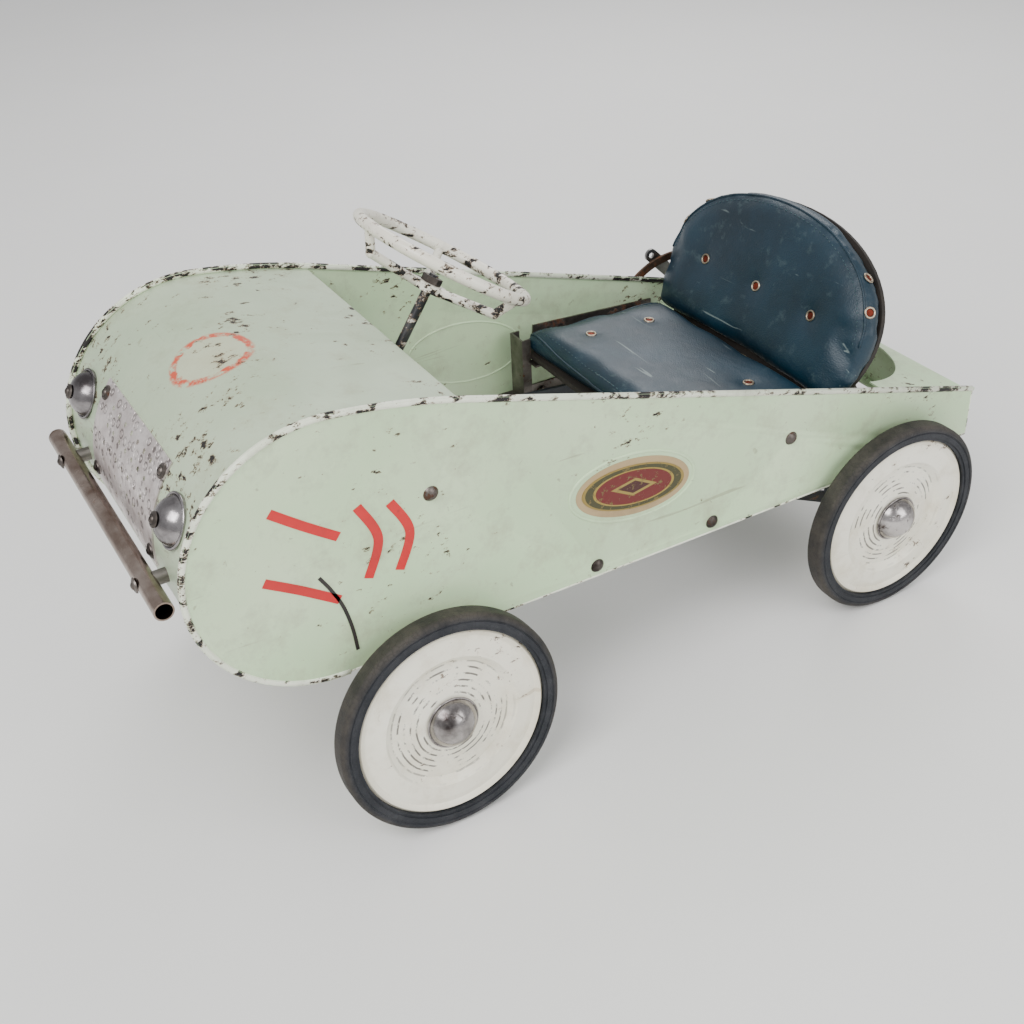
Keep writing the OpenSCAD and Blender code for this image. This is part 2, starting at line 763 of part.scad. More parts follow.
module tie_rod() {
    color(steel) car() translate([0, 0, tie_z - tie_t / 2]) linear_extrude(tie_t) difference() {
        union() {
            strip([-king_x, steer_arm], [king_x, steer_arm], 16);
            strip([0, steer_arm], [0, tongue_s], 22);
        }
        both_sides() translate([king_x, steer_arm]) circle(r = tie_pin_r + 1.1);
        translate([0, tongue_s - 0.6]) for (y = [-4, 4]) translate([0, y]) circle(r = column_pin_r + 0.5);
        translate([0, tongue_s - 0.6]) square([2 * column_pin_r + 1, 8], center = true);
    }
}

// ---- Wheels ----

hub_in = 14;                     // the hub's ends, either side of the wheel's middle
hub_out = 10;
hub_r = 11;
disc_t = 1.6;

// Local Z points out of the car along the wheel's axle
module front_wheel_frame() { translate([front_x, 0, front_z]) rotate([0, 90 - camber, 0]) children(); }
module rear_wheel_frame() { translate([rear_x, wheelbase, rear_z]) rotate([0, 90, 0]) children(); }

// Pressed disc: rolled lip, groove, flat band and a shallow dish
module disc(bore) {
    line = [[rim_r, 4], [rim_r - 2.5, 6.5], [rim_r - 7, 3.6], [rim_r - 12, 4.6], [rim_r - 25, 5.4],
        [rim_r - 32, -0.5], [cap_r + 2, 3], [hub_r, 3.6]];
    rotate_extrude($fn = 128) difference() {
        union() {
            polygon(concat([for (p = line) p + [0, disc_t / 2]],
                [for (i = [len(line) - 1:-1:0]) line[i] - [0, disc_t / 2]]));
            translate([rim_r - disc_t, 4.8 - tyre_w * 0.7]) square([disc_t, tyre_w * 0.7]);
            translate([0, -hub_in]) square([hub_r, hub_in + hub_out]);
        }
        translate([-1, -50]) square([bore + 1, 100]);
    }
}
module tyre() {
    half = tyre_w / 2;
    rotate_extrude($fn = 128) difference() {
        union() {
            translate([rim_r, 1 - half]) square([wheel_r - rim_r - tread_round, tyre_w - 2]);
            translate([rim_r + 3, -half]) square([wheel_r - rim_r - tread_round - 3, tyre_w]);
            translate([rim_r, tread_round - half]) square([wheel_r - rim_r, tyre_w - 2 * tread_round]);
            for (y = [-1, 1]) translate([wheel_r - tread_round, y * (half - tread_round)])
                circle(r = tread_round, $fn = 32);
        }
        for (y = [-1, 1]) translate([wheel_r - 6.5, y * half]) circle(r = 0.8, $fn = 16);
    }
}
// Hollow domed hub cap with a flat flange
module cap() {
    rise = 15;
    dome = cap_r - 2;
    ball = (dome * dome + rise * rise) / (2 * rise);
    base = 5;
    rotate_extrude($fn = 64) translate([0, base]) difference() {
        union() {
            intersection() {
                translate([0, rise + 2 - ball]) circle(r = ball, $fn = 96);
                square([dome, rise + 2]);
            }
            square([dome, 2]);
            square([cap_r - 1, 1.4]);
            translate([cap_r - 1, 0.9]) circle(r = 0.9, $fn = 24);
        }
        intersection() {
            translate([0, rise + 0.6 - ball]) circle(r = ball, $fn = 96);
            translate([0, -1]) square([dome - 1.4, rise + 2]);
        }
        translate([-99, -99]) square([99, 198]);
    }
}

// Sleeve on the kingpin with the stub axle and the steering arm
module stub_axle() {
    sleeve_top = beam_z - beam_t / 2 - air;
    difference() {
        union() {
            translate([king_x, 0, king_low]) cylinder(r = 11, h = sleeve_top - king_low);
            intersection() {
                front_wheel_frame() {
                    translate([0, 0, -front_x]) cylinder(r = axle_r, h = front_x + hub_out + 3);
                    translate([0, 0, -hub_in - 6]) cylinder(r = 10, h = 6 - air);
                }
                translate([king_x, -50, 0]) cube([front_x, 100, 2 * front_z]);
            }
            translate([0, 0, arm_z - 2]) linear_extrude(4) strip([king_x, 0], [king_x, steer_arm], 14);
            translate([king_x, steer_arm, arm_z]) cylinder(r = tie_pin_r, h = tie_z + tie_t / 2 + 2 - arm_z);
            translate([king_x, steer_arm, arm_z]) cylinder(r = 6, h = tie_z - tie_t / 2 - air - arm_z);
        }
        translate([king_x, 0, 0]) cylinder(r = king_r + running, h = 2 * front_z);
    }
}
module stub_axle_left() { color(dark) car() stub_axle(); }
module stub_axle_right() { color(dark) car() mirror([1, 0, 0]) stub_axle(); }
module front_disc_left() { color(cream) car() front_wheel_frame() disc(axle_r + running); }
module front_disc_right() { color(cream) car() mirror([1, 0, 0]) front_wheel_frame() disc(axle_r + running); }
module front_tyre_left() { color(dark) car() front_wheel_frame() tyre(); }
module front_tyre_right() { color(dark) car() mirror([1, 0, 0]) front_wheel_frame() tyre(); }
module front_cap_left() { color(chrome) car() front_wheel_frame() cap(); }
module front_cap_right() { color(chrome) car() mirror([1, 0, 0]) front_wheel_frame() cap(); }
module rear_discs() { color(cream) car() both_sides() rear_wheel_frame() disc(axle_r); }
module rear_tyres() { color(dark) car() both_sides() rear_wheel_frame() tyre(); }
module rear_caps() { color(chrome) car() both_sides() rear_wheel_frame() cap(); }

// ---- Drive ----

// Rear axle bent into two opposite cranks, right one up
module crank_axle() {
    axle = [wheelbase, rear_z];
    near = crank_mid - crank_gap;
    far = crank_mid + crank_gap;
    color(dark) car() {
        across(-near, axle) cylinder(r = axle_r, h = 2 * near);
        for (side = [-1, 1]) {
            pin = axle - [0, side * crank_throw];
            for (x = [near, far]) {
                translate([side * x, axle.x, axle.y]) sphere(r = axle_r);
                translate([side * x, pin.x, pin.y]) sphere(r = axle_r);
                bar([side * x, axle.x, axle.y], [side * x, pin.x, pin.y], axle_r);
            }
            bar([side * near, pin.x, pin.y], [side * far, pin.x, pin.y], axle_r);
            bar([side * far, axle.x, axle.y], [side * (rear_x + hub_out + 3), axle.x, axle.y], axle_r);
        }
    }
}

// Flat rod with a set in it that clears the seat, from the pedal's pin to the crank
rod_set = 30;
rod_set_at = 0.61;
eye_r = 11;
module drive_rod(side) {
    tail = [wheelbase, rear_z - side * crank_throw];
    run = tail - rod_end;
    up = [-run.y, run.x] / norm(run);
    knee = rod_end + rod_set_at * run + rod_set * up;
    mirror([side < 0 ? 1 : 0, 0, 0]) difference() {
        union() {
            slab(rod_in, rod_in + rod_t) {
                faceted_strip(rod_end, knee, drive_w);
                faceted_strip(knee, tail - 8 * (tail - knee) / norm(tail - knee), drive_w);
                translate(rod_end) circle(r = 9);
            }
            across(crank_mid - 3, tail) cylinder(r = eye_r, h = 6);
        }
        across(rod_in - 1, rod_end) cylinder(r = pin_r + 0.3, h = rod_t + 2);
        across(rod_in - 9, tail) cylinder(r = axle_r + running, h = rod_t + 18);
    }
}
module drive_rod_left() { color(dark) car() drive_rod(1); }
module drive_rod_right() { color(dark) car() drive_rod(-1); }

arm_t = 4;
arm_x = rod_in - 2 - arm_t;
pad_w = 42;
spindle_r = 4;
module pedal_arm() {
    foot = hang(pedal_len);
    difference() {
        union() {
            slab(arm_x, arm_x + arm_t) strip(hang(0), foot, 14);
            across(arm_x - 6, hang(0)) cylinder(r = bar_r + 4, h = arm_t + 7);
            across(arm_x, rod_end) cylinder(r = pin_r, h = arm_t + 2 - air);
            across(arm_x - pad_w - 2, foot) cylinder(r = spindle_r, h = pad_w + 3);
        }
        across(arm_x - 20, hang(0)) cylinder(r = bar_r + running, h = 40);
    }
}
module pedal_pad() {
    foot = hang(pedal_len);
    slab(arm_x - pad_w, arm_x - air) difference() {
        translate(foot) rotate(pedal_angle) round_rect(20, 34, 5);
        translate(foot) circle(r = spindle_r);
    }
}
module pedal_arm_left() { color(steel) car() pedal_arm(); }
module pedal_arm_right() { color(steel) car() mirror([1, 0, 0]) pedal_arm(); }
module pedal_pad_left() { color(dark) car() pedal_pad(); }
module pedal_pad_right() { color(dark) car() mirror([1, 0, 0]) pedal_pad(); }

side_panel_left();
side_panel_right();
hood();
grille();
front_screws();
lamps();
bumper();
bumper_spacers();
rear_deck();
tail_panel();
chassis_rail_left();
chassis_rail_right();
front_cross_member();
rear_cross_member();
axle_hangers();
axle_bushes();
front_beam();
beam_posts();
kingpins();
column_bracket();
column_foot();
pedal_bar();
seat_uprights();
seat_rails();
seat_board();
back_board();
back_stays();
seat_cushion();
back_cushion();
eyelets();
side_bolts();
badges();
brake_quadrant();
steering_wheel();
hub_nut();
steering_column();
tie_rod();
stub_axle_left();
stub_axle_right();
front_disc_left();
front_tyre_left();
front_cap_left();
front_disc_right();
front_tyre_right();
front_cap_right();
crank_axle();
rear_discs();
rear_tyres();
rear_caps();
drive_rod_left();
drive_rod_right();
pedal_arm_left();
pedal_pad_left();
pedal_arm_right();
pedal_pad_right();
brake_lever();
brake_shoe();
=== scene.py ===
"""An old child's pedal car: painted sheet body, dished wheels, crank drive and a buttoned vinyl seat."""
import math
import bmesh
import bpy
from mathutils import Matrix, Vector
from mathutils.bvhtree import BVHTree


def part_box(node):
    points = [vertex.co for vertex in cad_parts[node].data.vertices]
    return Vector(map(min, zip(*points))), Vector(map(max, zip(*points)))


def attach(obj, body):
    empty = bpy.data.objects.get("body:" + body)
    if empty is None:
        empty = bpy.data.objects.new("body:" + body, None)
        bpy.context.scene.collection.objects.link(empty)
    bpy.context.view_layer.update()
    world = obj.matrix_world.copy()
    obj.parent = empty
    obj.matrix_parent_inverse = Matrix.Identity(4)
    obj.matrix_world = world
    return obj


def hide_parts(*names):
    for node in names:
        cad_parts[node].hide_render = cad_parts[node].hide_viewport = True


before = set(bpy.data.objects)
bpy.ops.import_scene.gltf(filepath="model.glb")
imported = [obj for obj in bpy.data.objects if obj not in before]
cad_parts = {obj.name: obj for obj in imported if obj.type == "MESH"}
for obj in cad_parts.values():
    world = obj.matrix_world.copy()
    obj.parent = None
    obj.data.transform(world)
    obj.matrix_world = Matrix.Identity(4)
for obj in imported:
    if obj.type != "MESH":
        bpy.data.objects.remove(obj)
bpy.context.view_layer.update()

MM = 0.001


# ---- Places on the car ----

def middle(node):
    low, high = (Vector(p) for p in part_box(node))
    return (low + high) / 2


FRONT_AXLE = middle("front_tyre_left")
REAR_AXLE = middle("rear_tyres")
PANEL_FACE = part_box("badges")[1][0] - 0.8 * MM
BADGE = middle("badges")
BADGE_TILT = math.radians(10)


def on_car(x, behind, up):
    """A point given in millimetres: across, behind the front axle and above the floor."""
    return Vector((x * MM, FRONT_AXLE.y + behind * MM, up * MM))


# ---- Material tools ----

def linear(hex_colour):
    """An sRGB hex value as a linear colour."""
    parts = [int(hex_colour[i:i + 2], 16) / 255 for i in (1, 3, 5)]
    return [c / 12.92 if c <= 0.04045 else ((c + 0.055) / 1.055) ** 2.4 for c in parts] + [1.0]


def across(size):
    """The scale of a pattern whose features are this many millimetres across."""
    return 1 / (size * MM)


def add(tree, kind, inputs=None, **settings):
    """Adds a node with its settings, values and links, and gives back its first output in use."""
    made = tree.nodes.new(kind)
    for key, value in settings.items():
        setattr(made, key, value)
    for key, value in (inputs or {}).items():
        if isinstance(value, bpy.types.NodeSocket):
            tree.links.new(value, made.inputs[key])
        else:
            made.inputs[key].default_value = value
    return next((output for output in made.outputs if output.enabled), None)


def begin(name):
    """An empty material, its tree and the object's own coordinates in metres."""
    material = bpy.data.materials.new(name)
    material.use_nodes = True
    tree = material.node_tree
    tree.nodes.clear()
    place = add(tree, "ShaderNodeTexCoord").node.outputs["Object"]
    return material, tree, place


def finish_surface(tree, height, depth, shader_inputs):
    """Joins the shader and its bump to the output."""
    bump = add(tree, "ShaderNodeBump", {"Strength": 1.0, "Distance": depth, "Height": height})
    shader = add(tree, "ShaderNodeBsdfPrincipled", {**shader_inputs, "Normal": bump})
    add(tree, "ShaderNodeOutputMaterial", {"Surface": shader})


# ---- Finishes ----
# Each noise is listed as its size in millimetres, detail and roughness, and each mask as the values
# between which it rises from nothing to its full strength.

EVEN = (1, 1, 1)


def worn_enamel(name, colour, faded, dirt, bare, chips=0.5, shine=0.38, extra=None, dents=0.0):
    """Enamel brushed over sheet steel: it has faded in clouds, and chips about 8 mm across show dark
    rusted metal with a brown rim, with long hair scratches between them."""
    material, tree, place = begin(name)
    clouds, grime, flakes, patches, grain, scratches_back, scratches_over = (
        add(tree, "ShaderNodeTexNoise", {
            "Vector": add(tree, "ShaderNodeMapping", {"Vector": place, "Scale": stretch}),
            "Scale": across(size), "Detail": detail, "Roughness": rough, "Distortion": warp})
        for size, detail, rough, stretch, warp in (
            (143, 4, 0.6, EVEN, 0),
            (35.7, 8, 0.7, EVEN, 0),
            (8, 9, 0.74, (0.8, 0.5, 1.0), 0),
            (111, 3, 0.6, EVEN, 0),
            (2.38, 2, 0.6, EVEN, 0),
            (11.1, 3, 0.5, (0.06, 1.4, 1.0), 0.6),
            (11.1, 3, 0.5, (1.0, 0.07, 1.6), 0.6)))
    bare_patches = add(tree, "ShaderNodeMath", {0: patches, 1: 0.45, 2: -0.225}, operation="MULTIPLY_ADD")
    loss = add(tree, "ShaderNodeMath", {0: flakes, 1: bare_patches}, operation="ADD")
    edge = 0.78 - 0.16 * chips
    fading, film, hair_back, hair_over, rim, chip = (
        add(tree, "ShaderNodeMapRange", {0: value, 1: start, 2: end, 4: strength})
        for value, start, end, strength in (
            (clouds, 0.35, 0.68, 1),
            (grime, 0.5, 0.8, 0.55),
            (scratches_back, 0.70, 0.74, 0.5),
            (scratches_over, 0.71, 0.75, 0.5),
            (loss, edge - 0.03, edge, 1),
            (loss, edge, edge + 0.012, 1)))
    hairs = add(tree, "ShaderNodeMath", {0: hair_back, 1: hair_over}, operation="MAXIMUM")
    paint = linear(colour)
    for mask, over in ((fading, faded), (film, dirt)):
        paint = add(tree, "ShaderNodeMix", {0: mask, 6: paint, 7: linear(over)}, data_type="RGBA")
    if extra:
        paint = extra(tree, place, paint)
    for mask, over in ((hairs, dirt), (rim, "#8a6a4c"), (chip, bare)):
        paint = add(tree, "ShaderNodeMix", {0: mask, 6: paint, 7: linear(over)}, data_type="RGBA")
    pores = add(tree, "ShaderNodeMath", {0: grain, 1: 0.15}, operation="MULTIPLY")
    height = add(tree, "ShaderNodeMath", {0: pores, 1: chip}, operation="SUBTRACT")
    if dents:
        stretched = add(tree, "ShaderNodeMapping", {"Vector": place, "Scale": (1.0, 0.55, 1.0)})
        knocks = add(tree, "ShaderNodeTexNoise", {"Vector": stretched, "Scale": across(90.9), "Detail": 2,
                                                  "Roughness": 0.4, "Distortion": 0.8})
        height = add(tree, "ShaderNodeMath", {0: knocks, 1: dents, 2: height}, operation="MULTIPLY_ADD")
    dulling = add(tree, "ShaderNodeMath", {0: grime, 1: 0.6, 2: chip}, operation="MULTIPLY_ADD")
    gloss = add(tree, "ShaderNodeMapRange", {0: dulling, 3: shine - 0.08, 4: shine + 0.3})
    finish_surface(tree, height, 0.25 * MM, {"Base Color": paint, "Roughness": gloss, "Coat Weight": 0.12,
                                             "Coat Roughness": 0.3})
    return material


def worn_metal(name, bright, dull, rust, rusting=0.3, roughness=0.35, brush=EVEN):
    """Bare or plated steel: bright where rubbed, dull film in clouds, and rust freckles about 8 mm
    across. The brushed lines are drawn 3 mm apart, because real ones are too fine to show."""
    material, tree, place = begin(name)
    film, freckles, spots, lines = (
        add(tree, "ShaderNodeTexNoise", {
            "Vector": add(tree, "ShaderNodeMapping", {"Vector": place, "Scale": stretch}),
            "Scale": across(size), "Detail": detail, "Roughness": rough})
        for size, detail, rough, stretch in (
            (45.5, 8, 0.65, EVEN),
            (7.69, 8, 0.75, EVEN),
            (71.4, 3, 0.6, EVEN),
            (3.33, 2, 0.5, brush)))
    rusty_spots = add(tree, "ShaderNodeMath", {0: spots, 1: 0.6, 2: -0.3}, operation="MULTIPLY_ADD")
    amount = add(tree, "ShaderNodeMath", {0: freckles, 1: rusty_spots}, operation="ADD")
    edge = 0.80 - 0.30 * rusting
    dulled, corrosion = (
        add(tree, "ShaderNodeMapRange", {0: value, 1: start, 2: end})
        for value, start, end in ((film, 0.36, 0.64), (amount, edge - 0.04, edge + 0.03)))
    metal = linear(bright)
    for mask, over in ((dulled, dull), (corrosion, rust)):
        metal = add(tree, "ShaderNodeMix", {0: mask, 6: metal, 7: linear(over)}, data_type="RGBA")
    fine = add(tree, "ShaderNodeMath", {0: lines, 1: 0.25}, operation="MULTIPLY")
    height = add(tree, "ShaderNodeMath", {0: corrosion, 1: 0.9, 2: fine}, operation="MULTIPLY_ADD")
    dulling = add(tree, "ShaderNodeMath", {0: film, 1: 0.5, 2: corrosion}, operation="MULTIPLY_ADD")
    rough = add(tree, "ShaderNodeMapRange", {0: dulling, 3: roughness - 0.1, 4: roughness + 0.45})
    shiny = add(tree, "ShaderNodeMath", {0: corrosion, 1: -0.85, 2: 1.0}, operation="MULTIPLY_ADD")
    finish_surface(tree, height, 0.12 * MM, {"Base Color": metal, "Roughness": rough, "Metallic": shiny})
    return material


def from_axle(tree, place, centre):
    """Distance from a wheel's axle, in metres."""
    flat = add(tree, "ShaderNodeMapping", {"Vector": place, "Location": (0, -centre.y, -centre.z), "Scale": (0, 1, 1)})
    return add(tree, "ShaderNodeVectorMath", {0: flat}, operation="LENGTH")


def wheel_enamel(name, centre):
    """Cream gloss enamel on a pressed disc: rings 5.5 mm apart are rubbed through round the hub."""
    def rubbed(tree, place, paint):
        radius = from_axle(tree, place, centre)
        wander, broken = (
            add(tree, "ShaderNodeTexNoise", {"Vector": place, "Scale": across(size), "Detail": detail,
                                             "Roughness": rough})
            for size, detail, rough in ((33.3, 5, 0.6), (22.2, 6, 0.7)))
        turns = add(tree, "ShaderNodeMath", {0: wander, 1: 3.0}, operation="MULTIPLY")
        turns = add(tree, "ShaderNodeMath", {0: radius, 1: 2 * math.pi / (5.464 * MM), 2: turns},
                    operation="MULTIPLY_ADD")
        wave = add(tree, "ShaderNodeMath", {0: turns}, operation="SINE")
        marks, gaps, near_hub, rim_dirt = (
            add(tree, "ShaderNodeMapRange", {0: value, 1: start, 2: end, 3: low, 4: high})
            for value, start, end, low, high in (
                (wave, 0.45, 0.8, 0, 0.85),
                (broken, 0.50, 0.56, 0, 1),
                (radius, 50 * MM, 62 * MM, 1, 0),
                (radius, 78 * MM, 87.5 * MM, 0, 0.35)))
        for part in (gaps, near_hub):
            marks = add(tree, "ShaderNodeMath", {0: marks, 1: part}, operation="MULTIPLY")
        for mask, over in ((marks, "#2e2622"), (rim_dirt, "#b9a98c")):
            paint = add(tree, "ShaderNodeMix", {0: mask, 6: paint, 7: linear(over)}, data_type="RGBA")
        return paint
    return worn_enamel(name, "#f6f3e4", "#efead6", "#b8a888", "#3a302a", 0.6, 0.28, rubbed)


def old_rubber(name, centre=None):
    """Old solid rubber with fine cracks: blue-black side walls, and a brown dusty tread beyond the
    shoulder of a tyre round a centre. Without a centre it is all as worn as the tread."""
    material, tree, place = begin(name)
    dust, pores = (
        add(tree, "ShaderNodeTexNoise", {"Vector": place, "Scale": across(size), "Detail": detail, "Roughness": rough})
        for size, detail, rough in ((28.6, 8, 0.65), (2.86, 4, 0.6)))
    cracks = add(tree, "ShaderNodeTexVoronoi", {"Vector": place, "Scale": across(3.85)}, feature="DISTANCE_TO_EDGE")
    dusty_wall, dusty_tread, crack = (
        add(tree, "ShaderNodeMapRange", {0: value, 1: start, 2: end, 3: low, 4: high})
        for value, start, end, low, high in (
            (dust, 0.45, 0.75, 0, 1),
            (dust, 0.35, 0.65, 0, 1),
            (cracks, 0.0, 0.08, 1, 0)))
    wall, worn = (
        add(tree, "ShaderNodeMix", {0: mask, 6: linear(clean), 7: linear(dirty)}, data_type="RGBA")
        for mask, clean, dirty in ((dusty_wall, "#1d2026", "#3b3c40"), (dusty_tread, "#1f1d1c", "#45403a")))
    tread = 1.0
    if centre:
        radius = from_axle(tree, place, centre)
        tread = add(tree, "ShaderNodeMapRange", {0: radius, 1: 95.5 * MM, 2: 100.5 * MM})
    shallow = add(tree, "ShaderNodeMath", {0: crack, 1: 0.35}, operation="MULTIPLY")
    rubber = add(tree, "ShaderNodeMix", {0: tread, 6: wall, 7: worn}, data_type="RGBA")
    rubber = add(tree, "ShaderNodeMix", {0: shallow, 6: rubber, 7: linear("#0d0d0f")}, data_type="RGBA")
    height = add(tree, "ShaderNodeMath", {0: crack, 1: -0.6, 2: pores}, operation="MULTIPLY_ADD")
    rough = add(tree, "ShaderNodeMapRange", {0: dust, 3: 0.5, 4: 0.85})
    finish_surface(tree, height, 0.3 * MM, {"Base Color": rubber, "Roughness": rough, "Specular IOR Level": 0.4})
    return material


def dimpled_aluminium():
    """Soft aluminium sheet pressed with dimples about 11 mm apart, greasy in their rims."""
    material, tree, place = begin("dimpled_aluminium")
    cells = add(tree, "ShaderNodeTexVoronoi", {"Vector": place, "Scale": across(10.53), "Randomness": 0.45})
    film = add(tree, "ShaderNodeTexNoise", {"Vector": place, "Scale": across(25), "Detail": 8, "Roughness": 0.7})
    rise, fall, dulled, greasy = (
        add(tree, "ShaderNodeMapRange", {0: value, 1: start, 2: end, 3: low, 4: high})
        for value, start, end, low, high in (
            (cells, 0.24, 0.30, 0, 1),
            (cells, 0.36, 0.42, 1, 0),
            (film, 0.4, 0.65, 0, 1),
            (film, 0.38, 0.55, 0, 0.75)))
    rim = add(tree, "ShaderNodeMath", {0: rise, 1: fall}, operation="MULTIPLY")
    grease = add(tree, "ShaderNodeMath", {0: rim, 1: greasy}, operation="MULTIPLY")
    metal = linear("#e2dad7")
    for mask, over in ((dulled, "#b5a9a6"), (grease, "#4a403c")):
        metal = add(tree, "ShaderNodeMix", {0: mask, 6: metal, 7: linear(over)}, data_type="RGBA")
    uneven = add(tree, "ShaderNodeMath", {0: film, 1: 0.2}, operation="MULTIPLY")
    height = add(tree, "ShaderNodeMath", {0: rim, 1: -0.8, 2: uneven}, operation="MULTIPLY_ADD")
    rough = add(tree, "ShaderNodeMapRange", {0: film, 3: 0.3, 4: 0.6})
    finish_surface(tree, height, 1.2 * MM, {"Base Color": metal, "Roughness": rough, "Metallic": 0.75})
    return material


def seat_vinyl():
    """Teal-black leathercloth: pebble grain about 1 mm across, rubbed grey on its high parts."""
    material, tree, place = begin("grained_vinyl")
    tone, rub, hairs, creases = (
        add(tree, "ShaderNodeTexNoise", {
            "Vector": add(tree, "ShaderNodeMapping", {"Vector": place, "Scale": stretch}),
            "Scale": across(size), "Detail": detail, "Roughness": rough, "Distortion": warp})
        for size, detail, rough, stretch, warp in (
            (83.3, 6, 0.6, EVEN, 0),
            (18.2, 9, 0.75, EVEN, 0),
            (8.33, 3, 0.5, (0.1, 1.2, 1.0), 0.8),
            (41.7, 5, 0.6, EVEN, 1.5)))
    shade, rubbed, scratched = (
        add(tree, "ShaderNodeMapRange", {0: value, 1: start, 2: end, 4: strength})
        for value, start, end, strength in ((tone, 0.35, 0.7, 1), (rub, 0.56, 0.72, 0.5), (hairs, 0.68, 0.73, 0.5)))
    colour = linear("#08202c")
    for mask, over in ((shade, "#0f3040"), (rubbed, "#4d5f61"), (scratched, "#8d9a97")):
        colour = add(tree, "ShaderNodeMix", {0: mask, 6: colour, 7: linear(over)}, data_type="RGBA")
    pebble = add(tree, "ShaderNodeTexVoronoi", {"Vector": place, "Scale": across(1.11)}, feature="SMOOTH_F1")
    grain = add(tree, "ShaderNodeMath", {0: pebble, 1: 0.35}, operation="MULTIPLY")
    height = add(tree, "ShaderNodeMath", {0: creases, 1: 1.2, 2: grain}, operation="MULTIPLY_ADD")
    rough = add(tree, "ShaderNodeMapRange", {0: rub, 3: 0.28, 4: 0.6})
    finish_surface(tree, height, 0.5 * MM, {"Base Color": colour, "Roughness": rough, "Specular IOR Level": 0.5})
    return material


def seat_plywood():
    """Plywood coloured nearly black, as dark as the vinyl that wraps the real boards, and also as painted shade so
    that the strip of board showing beside the pads reads as shadow; its grain runs across the car.
    """
    material, tree, place = begin("dark_plywood_painted_shade")
    long_grain = add(tree, "ShaderNodeMapping", {"Vector": place, "Scale": (0.08, 1, 1)})
    grain = add(tree, "ShaderNodeTexNoise", {"Vector": long_grain, "Scale": across(14.3), "Detail": 8,
                                             "Roughness": 0.65, "Distortion": 1.0})
    stain = add(tree, "ShaderNodeTexNoise", {"Vector": place, "Scale": across(62.5), "Detail": 5, "Roughness": 0.6})
    # The near-black base is partly the dark vinyl wrap of the real boards and partly painted shade for the board edges
    # showing beside the pads.
    colour = linear("#1a1613")
    for value, start, end, strength, over in ((grain, 0.35, 0.65, 1, "#2b241d"), (stain, 0.5, 0.7, 0.5, "#120f0d")):
        mask = add(tree, "ShaderNodeMapRange", {0: value, 1: start, 2: end, 4: strength})
        colour = add(tree, "ShaderNodeMix", {0: mask, 6: colour, 7: linear(over)}, data_type="RGBA")
    finish_surface(tree, grain, 0.3 * MM, {"Base Color": colour, "Roughness": 0.7})
    return material


def badge_enamel():
    """Printed oval plate with gold and olive rings round a red field and a plain lozenge."""
    material, tree, place = begin("badge_enamel")
    moved = add(tree, "ShaderNodeVectorMath", {0: place, 1: (0, BADGE.y, BADGE.z)}, operation="SUBTRACT")
    level = add(tree, "ShaderNodeVectorRotate", {"Vector": moved, "Angle": BADGE_TILT}, rotation_type="X_AXIS")
    halves = add(tree, "ShaderNodeMapping", {"Vector": level, "Scale": (0, across(54), across(22))})
    oval = add(tree, "ShaderNodeVectorMath", {0: halves}, operation="LENGTH")
    parts = add(tree, "ShaderNodeSeparateXYZ", {0: halves}).node.outputs
    along, up = (add(tree, "ShaderNodeMath", {0: parts[i]}, operation="ABSOLUTE") for i in (1, 2))
    lozenge = add(tree, "ShaderNodeMath", {0: along, 1: 1.5}, operation="MULTIPLY")
    lozenge = add(tree, "ShaderNodeMath", {0: up, 1: 1.7, 2: lozenge}, operation="MULTIPLY_ADD")
    wear = add(tree, "ShaderNodeTexNoise", {"Vector": place, "Scale": across(6.25), "Detail": 8, "Roughness": 0.75})
    colour = linear("#94803a")
    for value, start, end, low, high, over in (
            (lozenge, 0.66, 0.70, 0, 1, "#64120f"),
            (lozenge, 0.46, 0.50, 1, 0, "#3d0d0b"),
            (oval, 0.74, 0.75, 0, 1, "#9c8436"),
            (oval, 0.79, 0.80, 0, 1, "#3c3a18"),
            (oval, 0.94, 0.95, 0, 1, "#8e7836"),
            (wear, 0.57, 0.60, 0, 1, "#6f5f30")):
        mask = add(tree, "ShaderNodeMapRange", {0: value, 1: start, 2: end, 3: low, 4: high})
        colour = add(tree, "ShaderNodeMix", {0: mask, 6: colour, 7: linear(over)}, data_type="RGBA")
    finish_surface(tree, mask, 0.1 * MM, {"Base Color": colour, "Roughness": 0.42})
    return material


def hood_ring(tree, place, paint):
    """The faint orange ring that an old round transfer left on the hood."""
    centre = on_car(3, -92, 0)
    flat = add(tree, "ShaderNodeMapping", {"Vector": place, "Location": (-centre.x, -centre.y, 0), "Scale": (1, 1, 0)})
    radius = add(tree, "ShaderNodeVectorMath", {0: flat}, operation="LENGTH")
    ragged = add(tree, "ShaderNodeTexNoise", {"Vector": place, "Scale": across(11.1), "Detail": 8, "Roughness": 0.7})
    uneven = add(tree, "ShaderNodeMath", {0: ragged, 1: 12 * MM, 2: -6 * MM}, operation="MULTIPLY_ADD")
    radius = add(tree, "ShaderNodeMath", {0: radius, 1: uneven}, operation="ADD")
    inside, ring, outside, left_over = (
        add(tree, "ShaderNodeMapRange", {0: value, 1: start, 2: end, 3: low, 4: high})
        for value, start, end, low, high in (
            (radius, 27.5 * MM, 29 * MM, 0.25, 0),
            (radius, 27.5 * MM, 29 * MM, 0, 0.95),
            (radius, 34 * MM, 36 * MM, 1, 0),
            (ragged, 0.42, 0.55, 0, 1)))
    for part in (outside, left_over):
        ring = add(tree, "ShaderNodeMath", {0: ring, 1: part}, operation="MULTIPLY")
    for mask, over in ((inside, "#d8c6a4"), (ring, "#c8401c")):
        paint = add(tree, "ShaderNodeMix", {0: mask, 6: paint, 7: linear(over)}, data_type="RGBA")
    return paint


